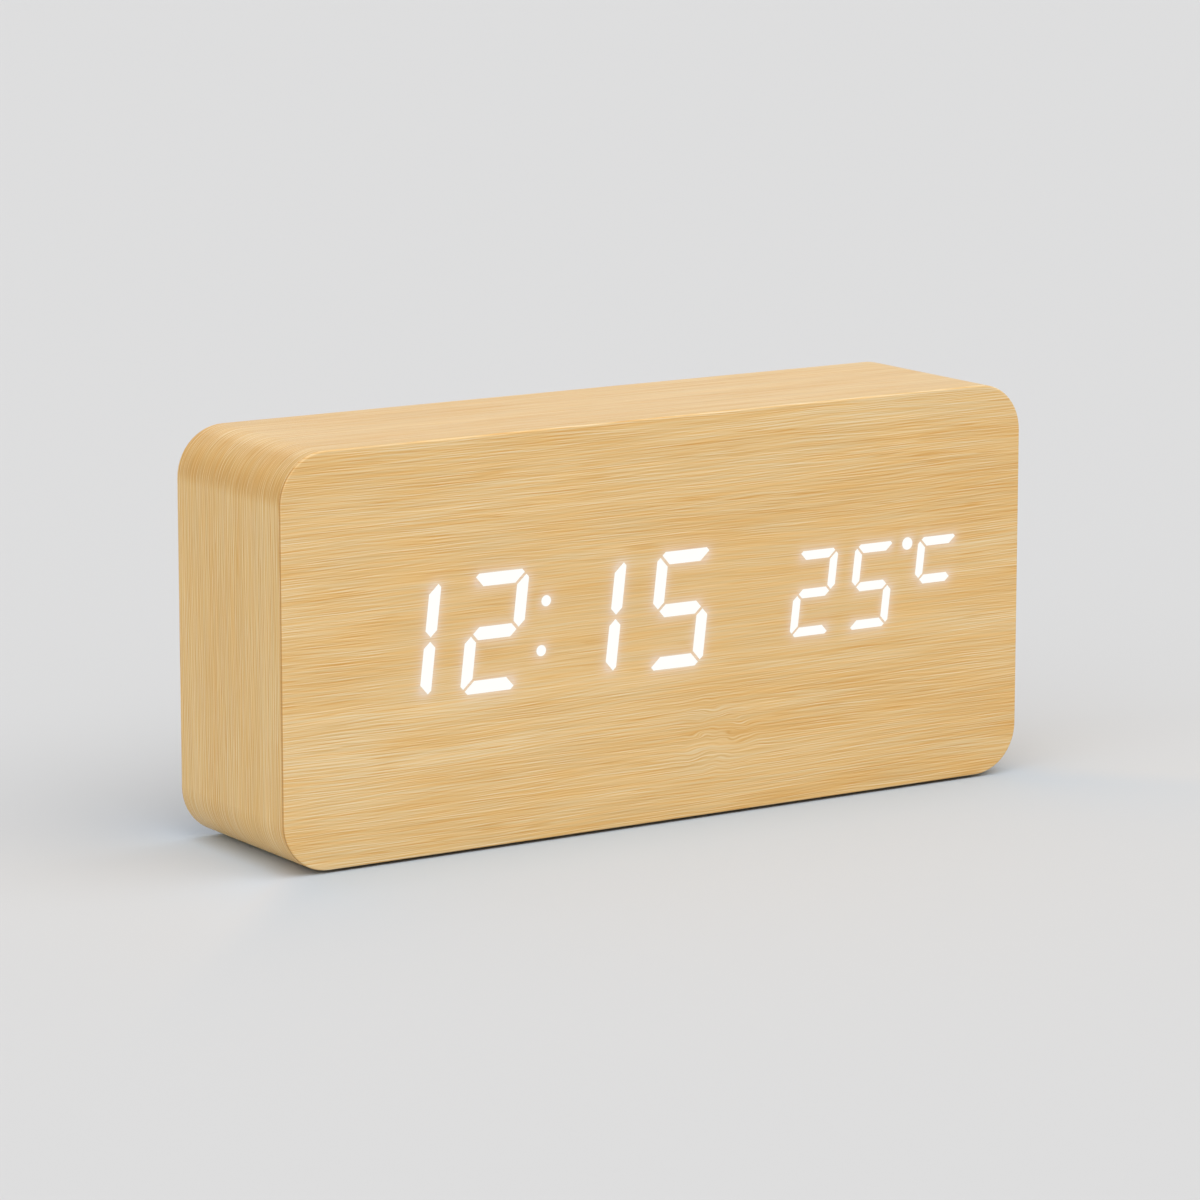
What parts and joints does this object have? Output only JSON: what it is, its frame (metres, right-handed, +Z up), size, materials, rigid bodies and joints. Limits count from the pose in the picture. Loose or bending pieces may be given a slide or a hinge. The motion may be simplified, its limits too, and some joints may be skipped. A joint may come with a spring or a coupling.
{
  "type": "digital led desk clock",
  "caption": "Block-shaped wooden desk clock whose glowing seven-segment time and temperature shine through its veneered front, with rear buttons, battery door and power inlet.",
  "frame": {"origin": "on the table, under the middle of the case, at the underside of the feet", "axes": "+X to the right seen from the front, +Y from the front to the back, +Z up"},
  "size_m": [0.15, 0.035, 0.0705],
  "materials": {
    "front_wood": "satin bamboo veneer, grain along the width",
    "wrap_wood": "satin bamboo veneer, grain round the case",
    "fibreboard": "raw fibreboard",
    "block_wood": "sawn softwood",
    "foot_rubber": "matte",
    "lit_segment": "glowing white",
    "diffuser": "milky film",
    "white_plastic": "moulded white",
    "light_guide": "clear resin with diffuser powder",
    "led": "white chip with yellow phosphor",
    "green_board": "green solder mask",
    "chip_black": "moulded black, bare top",
    "screw_steel": "zinc plated",
    "screw_black": "black zinc",
    "cover_black": "fine spark texture",
    "cell_jacket": "plain printed-free jacket with bare ends",
    "contact_steel": "nickel plated",
    "wire_jacket": "soft PVC",
    "ribbon_grey": "flat ribbon",
    "socket_steel": "drawn shell",
    "inner_black": "moulded black",
    "button_black": "satin black with raised marks",
    "can_metal": "drawn can",
    "bead_resin": "dipped resin bead"
  },
  "bodies": {
    "case": {"front_veneer": "front_wood", "wrap_veneer": "wrap_wood", "front_board": "fibreboard", "case_ring": "fibreboard", "corner_blocks": "block_wood", "rubber_feet": "foot_rubber", "lit_hour_tens": "lit_segment", "lit_hour_units": "lit_segment", "lit_colon": "lit_segment", "lit_minute_tens": "lit_segment", "lit_minute_units": "lit_segment", "lit_temperature_tens": "lit_segment", "lit_temperature_units": "lit_segment", "lit_degree_mark": "lit_segment", "diffuser_film": "diffuser", "segment_reflector": "white_plastic", "ribbon_connectors": "white_plastic", "segment_light_guides": "light_guide", "led_chips": "led", "display_board": "green_board", "main_board": "green_board", "display_driver_chip": "chip_black", "control_chip": "chip_black", "display_screws": "screw_steel", "board_screws": "screw_steel", "cover_screws": "screw_black", "rear_cover": "cover_black", "battery_cell_lower": "cell_jacket", "battery_cell_middle": "cell_jacket", "battery_cell_upper": "cell_jacket", "battery_negative_contact": "contact_steel", "battery_positive_contact": "contact_steel", "battery_left_bridge": "contact_steel", "battery_right_bridge": "contact_steel", "coin_cell_clip": "contact_steel", "battery_wires": "wire_jacket", "ribbon_cable": "ribbon_grey", "usb_socket": "socket_steel", "usb_tongue": "inner_black", "buzzer": "inner_black", "coin_cell_holder": "inner_black", "set_switch": "inner_black", "up_switch": "inner_black", "down_switch": "inner_black", "microphone": "can_metal", "clock_crystal": "can_metal", "smoothing_capacitor": "can_metal", "coin_cell": "can_metal", "thermistor": "bead_resin"},
    "battery_door": {"battery_door": "cover_black"},
    "set_button": {"set_button": "button_black", "set_plunger": "inner_black"},
    "up_button": {"up_button": "button_black", "up_plunger": "inner_black"},
    "down_button": {"down_button": "button_black", "down_plunger": "inner_black"}
  },
  "joints": [
    {"name": "battery_door_hinge", "type": "hinge", "parent": "case", "child": "battery_door", "pos_m": [-0.03176, 0.0156, 0.05285], "axis": [1, 0, 0], "range_deg": [0, 95]},
    {"name": "set_press", "type": "slide", "parent": "case", "child": "set_button", "axis": [0, -1, 0], "range_m": [0, 0.0005], "stiffness_N_per_m": 800, "springref_m": -0.0005},
    {"name": "up_press", "type": "slide", "parent": "case", "child": "up_button", "axis": [0, -1, 0], "range_m": [0, 0.0005], "stiffness_N_per_m": 800, "springref_m": -0.0005},
    {"name": "down_press", "type": "slide", "parent": "case", "child": "down_button", "axis": [0, -1, 0], "range_m": [0, 0.0005], "stiffness_N_per_m": 800, "springref_m": -0.0005}
  ]
}
